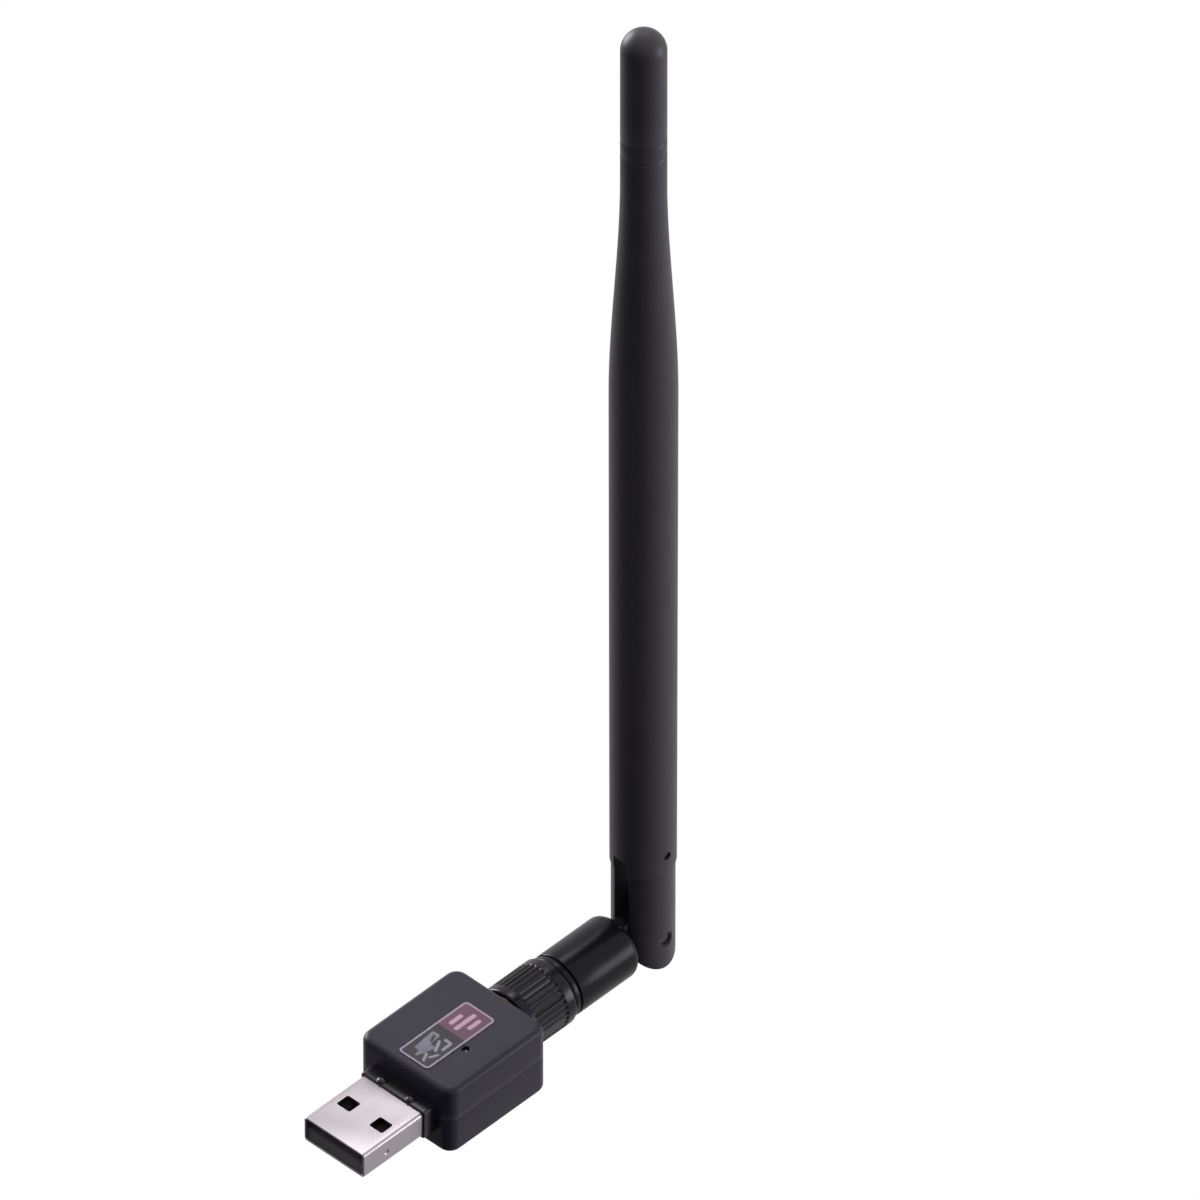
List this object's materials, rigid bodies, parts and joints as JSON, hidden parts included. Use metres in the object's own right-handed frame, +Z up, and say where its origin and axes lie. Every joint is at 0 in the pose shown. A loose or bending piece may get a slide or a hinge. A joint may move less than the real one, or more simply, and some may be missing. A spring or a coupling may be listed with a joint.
{
  "type": "usb wifi adapter",
  "caption": "Stubby black USB plug-in radio adapter with a screw-on antenna that swivels on its barrel and folds at a hinge.",
  "frame": {"origin": "on the USB plug's centre line, where its bare metal ends and the collar begins", "axes": "-Y is the way the plug goes in, +Y towards the antenna's hinge, +Z up through the labelled face and along the raised antenna, +X to the right when seen from the plug"},
  "size_m": [0.0186, 0.0695, 0.1811],
  "materials": {
    "plug_steel": "bright plated steel",
    "gold_plate": "gold plated",
    "brass": "machined brass",
    "case_black": "satin black plastic",
    "soft_black": "smooth satin black elastomer",
    "gloss_black": "semi-gloss black plastic",
    "white_plastic": "moulded white plastic",
    "label_print": "printed film, black and dark red",
    "smoked_plastic": "smoked clear plastic",
    "board_green": "solder mask",
    "chip_black": "moulded epoxy",
    "ceramic_tan": "ceramic with tinned ends",
    "cable_grey": "fluoropolymer jacket",
    "foam_white": "foamed plastic"
  },
  "bodies": {
    "adapter": {"usb_plug_shell": "plug_steel", "plug_insulator": "white_plastic", "contact_power": "gold_plate", "contact_data_minus": "gold_plate", "contact_data_plus": "gold_plate", "contact_ground": "gold_plate", "plug_collar": "gloss_black", "housing_top": "case_black", "housing_bottom": "case_black", "label_plate": "label_print", "light_pipe": "smoked_plastic", "circuit_board": "board_green", "wifi_chip": "chip_black", "memory_chip": "chip_black", "voltage_regulator": "chip_black", "crystal_can": "plug_steel", "status_led": "white_plastic", "matching_inductor": "ceramic_tan", "capacitor_1": "ceramic_tan", "capacitor_2": "ceramic_tan", "capacitor_3": "ceramic_tan", "capacitor_4": "ceramic_tan", "jack_body": "brass", "jack_insulator": "white_plastic", "jack_pin": "gold_plate"},
    "antenna_plug": {"plug_ferrule": "brass", "ferrule_insulator": "white_plastic", "centre_socket": "gold_plate", "retaining_ring": "plug_steel"},
    "coupling_nut": {"coupling_sleeve": "soft_black", "coupling_insert": "brass"},
    "swivel": {"swivel_collar": "gloss_black", "swivel_barrel": "gloss_black", "barrel_coax": "cable_grey"},
    "antenna": {"hinge_pin": "plug_steel", "antenna_fork": "gloss_black", "antenna_sheath": "soft_black", "antenna_coax": "cable_grey", "dipole_sleeve": "brass", "radiator": "brass", "lower_spacer": "foam_white", "upper_spacer": "foam_white"}
  },
  "joints": [
    {"name": "antenna_withdrawal", "type": "slide", "parent": "adapter", "child": "antenna_plug", "axis": [0, 1, 0], "range_m": [0, 0.0065]},
    {"name": "coupling_nut_turn", "type": "hinge", "parent": "antenna_plug", "child": "coupling_nut", "pos_m": [0, 0.028, 0.0005], "axis": [0, 1, 0], "range_deg": [0, 3315]},
    {"name": "antenna_swivel", "type": "hinge", "parent": "antenna_plug", "child": "swivel", "pos_m": [0, 0.04, 0.0005], "axis": [0, 1, 0], "continuous": true},
    {"name": "antenna_fold", "type": "hinge", "parent": "swivel", "child": "antenna", "pos_m": [0, 0.0518, 0.0005], "axis": [1, 0, 0], "range_deg": [-90, 0]}
  ],
  "couplings": [
    {"joint": "coupling_nut_turn", "follows": "antenna_withdrawal", "rad_per_m": 8899.7}
  ]
}
